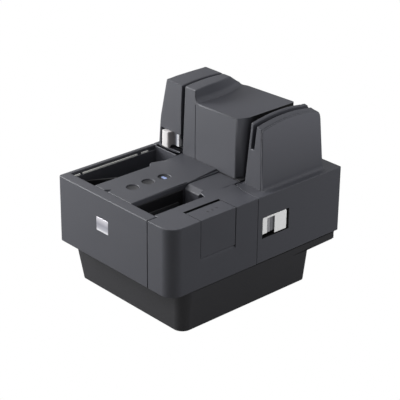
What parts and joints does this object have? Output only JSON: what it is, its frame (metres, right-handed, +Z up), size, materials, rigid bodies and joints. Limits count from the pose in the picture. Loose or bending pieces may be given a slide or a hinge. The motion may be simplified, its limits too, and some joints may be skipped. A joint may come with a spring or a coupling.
{
  "type": "desktop cheque scanner",
  "caption": "Desktop cheque scanner with a U-shaped document track, hinged transport covers with silver latches, an ink cartridge cover, a button console and a card slot",
  "frame": {"origin": "centre of the footprint on the table, under the feet", "axes": "X to the right side with the ink cover, Y to the rear, Z up"},
  "size_m": [0.22, 0.296, 0.257],
  "materials": {
    "charcoal_plastic": "textured injection moulding",
    "dark_plastic": "textured injection moulding",
    "black_plastic": "plain injection moulding",
    "silver_plastic": "silver painted moulding",
    "white_plastic": "white strip",
    "blue_lens": "tinted light guide",
    "steel": "zinc plated sheet",
    "bronze": "sintered bush",
    "rubber": "moulded rubber",
    "board_green": "solder resist",
    "sensor_glass": "float glass"
  },
  "bodies": {
    "case": {"base_tub": "dark_plastic", "rubber_feet": "rubber", "frame_plate": "steel", "main_case": "charcoal_plastic", "rear_cover": "charcoal_plastic", "console_cover": "charcoal_plastic", "feed_cover": "charcoal_plastic", "feed_tray": "black_plastic", "eject_tray": "black_plastic", "tray_strip": "white_plastic", "feed_guide": "charcoal_plastic", "center_cover": "charcoal_plastic", "inner_track": "dark_plastic", "badge_plate": "silver_plastic", "main_board": "board_green", "button_board": "board_green", "transport_motor": "steel", "feed_motor": "steel", "transport_belt": "rubber", "feed_belt": "rubber", "shaft_bushes": "bronze", "power_inlet": "black_plastic", "usb_socket": "steel", "front_scan_unit": "black_plastic", "front_scan_glass": "sensor_glass", "micr_head": "steel", "cartridge_tray": "dark_plastic", "ink_cartridge": "black_plastic", "cover_hinge_pins": "steel", "ink_cover_pin": "steel", "case_screws": "steel"},
    "right_cover": {"right_cover": "charcoal_plastic", "right_guide": "charcoal_plastic", "card_reader_head": "steel"},
    "right_latch": {"right_latch": "silver_plastic"},
    "left_cover": {"left_cover": "charcoal_plastic", "rear_scan_unit": "black_plastic", "rear_scan_glass": "sensor_glass"},
    "left_latch": {"left_latch": "silver_plastic"},
    "ink_cover": {"ink_cover": "charcoal_plastic"},
    "enter_button": {"enter_button": "dark_plastic"},
    "clear_button": {"clear_button": "dark_plastic"},
    "power_button": {"power_button": "dark_plastic", "power_light": "blue_lens"},
    "eject_arm": {"eject_arm": "black_plastic"},
    "feed_pusher": {"feed_pusher": "dark_plastic"},
    "transport_drive_1": {"transport_shaft_1": "steel", "transport_roller_1": "rubber"},
    "transport_drive_2": {"transport_shaft_2": "steel", "transport_roller_2": "rubber"},
    "transport_drive_3": {"transport_shaft_3": "steel", "transport_roller_3": "rubber"},
    "feed_drive": {"feed_shaft": "steel", "feed_roller": "rubber"},
    "pick_drive": {"pick_roller": "rubber"},
    "retard_drive": {"retard_roller": "rubber"},
    "motor_drive": {"motor_pulley": "steel"},
    "pinch_1": {"pinch_roller_1": "dark_plastic"},
    "pinch_2": {"pinch_roller_2": "dark_plastic"},
    "pinch_3": {"pinch_roller_3": "dark_plastic"}
  },
  "joints": [
    {"name": "right_cover_hinge", "type": "hinge", "parent": "case", "child": "right_cover", "pos_m": [0.1045, 0.1425, 0.11], "axis": [0, 0, 1], "range_deg": [0, 80]},
    {"name": "left_cover_hinge", "type": "hinge", "parent": "case", "child": "left_cover", "pos_m": [-0.1045, 0.1425, 0.11], "axis": [0, 0, -1], "range_deg": [0, 80]},
    {"name": "right_latch_slide", "type": "slide", "parent": "right_cover", "child": "right_latch", "axis": [0, 1, 0], "range_m": [0, 0.003], "stiffness_N_per_m": 200},
    {"name": "left_latch_slide", "type": "slide", "parent": "left_cover", "child": "left_latch", "axis": [-1, 0, 0], "range_m": [0, 0.0025], "stiffness_N_per_m": 200},
    {"name": "ink_cover_hinge", "type": "hinge", "parent": "case", "child": "ink_cover", "pos_m": [0.1081, -0.0705, 0.1053], "axis": [0, 1, 0], "range_deg": [0, 88]},
    {"name": "enter_button_press", "type": "slide", "parent": "case", "child": "enter_button", "axis": [0, 0, -1], "range_m": [0, 0.0012], "stiffness_N_per_m": 400},
    {"name": "clear_button_press", "type": "slide", "parent": "case", "child": "clear_button", "axis": [0, 0, -1], "range_m": [0, 0.0012], "stiffness_N_per_m": 400},
    {"name": "power_button_press", "type": "slide", "parent": "case", "child": "power_button", "axis": [0, 0, -1], "range_m": [0, 0.0012], "stiffness_N_per_m": 400},
    {"name": "eject_arm_pivot", "type": "hinge", "parent": "case", "child": "eject_arm", "pos_m": [-0.0965, -0.12, 0.13], "axis": [0, 0, 1], "range_deg": [-25, 24], "stiffness_Nm_per_rad": 0.02},
    {"name": "feed_pusher_slide", "type": "slide", "parent": "case", "child": "feed_pusher", "axis": [1, 0, 0], "range_m": [0, 0.033]},
    {"name": "transport_drive_1_axis", "type": "hinge", "parent": "case", "child": "transport_drive_1", "pos_m": [0.0481, 0.038, 0.1], "axis": [0, 0, 1], "continuous": true},
    {"name": "transport_drive_2_axis", "type": "hinge", "parent": "case", "child": "transport_drive_2", "pos_m": [0.0481, 0.084, 0.1], "axis": [0, 0, 1], "continuous": true},
    {"name": "transport_drive_3_axis", "type": "hinge", "parent": "case", "child": "transport_drive_3", "pos_m": [-0.0467, 0.04, 0.1], "axis": [0, 0, 1], "continuous": true},
    {"name": "motor_drive_axis", "type": "hinge", "parent": "case", "child": "motor_drive", "pos_m": [0.002, 0.031, 0.062], "axis": [0, 0, 1], "continuous": true},
    {"name": "feed_drive_axis", "type": "hinge", "parent": "case", "child": "feed_drive", "pos_m": [0.069, -0.014, 0.1], "axis": [0, 0, 1], "continuous": true},
    {"name": "pick_drive_axis", "type": "hinge", "parent": "case", "child": "pick_drive", "pos_m": [0.069, -0.04, 0.1], "axis": [0, 0, 1], "continuous": true},
    {"name": "retard_drive_axis", "type": "hinge", "parent": "case", "child": "retard_drive", "pos_m": [0.0505, -0.014, 0.1], "axis": [0, 0, 1], "continuous": true},
    {"name": "pinch_1_axis", "type": "hinge", "parent": "right_cover", "child": "pinch_1", "pos_m": [0.0645, 0.038, 0.112], "axis": [0, 0, 1], "continuous": true},
    {"name": "pinch_2_axis", "type": "hinge", "parent": "right_cover", "child": "pinch_2", "pos_m": [0.0645, 0.084, 0.112], "axis": [0, 0, 1], "continuous": true},
    {"name": "pinch_3_axis", "type": "hinge", "parent": "left_cover", "child": "pinch_3", "pos_m": [-0.0631, 0.04, 0.112], "axis": [0, 0, 1], "continuous": true}
  ],
  "couplings": [
    {"joint": "transport_drive_2_axis", "follows": "transport_drive_1_axis", "ratio": 1},
    {"joint": "transport_drive_3_axis", "follows": "transport_drive_1_axis", "ratio": 1},
    {"joint": "motor_drive_axis", "follows": "transport_drive_1_axis", "ratio": 1.6},
    {"joint": "pick_drive_axis", "follows": "feed_drive_axis", "ratio": 1}
  ]
}
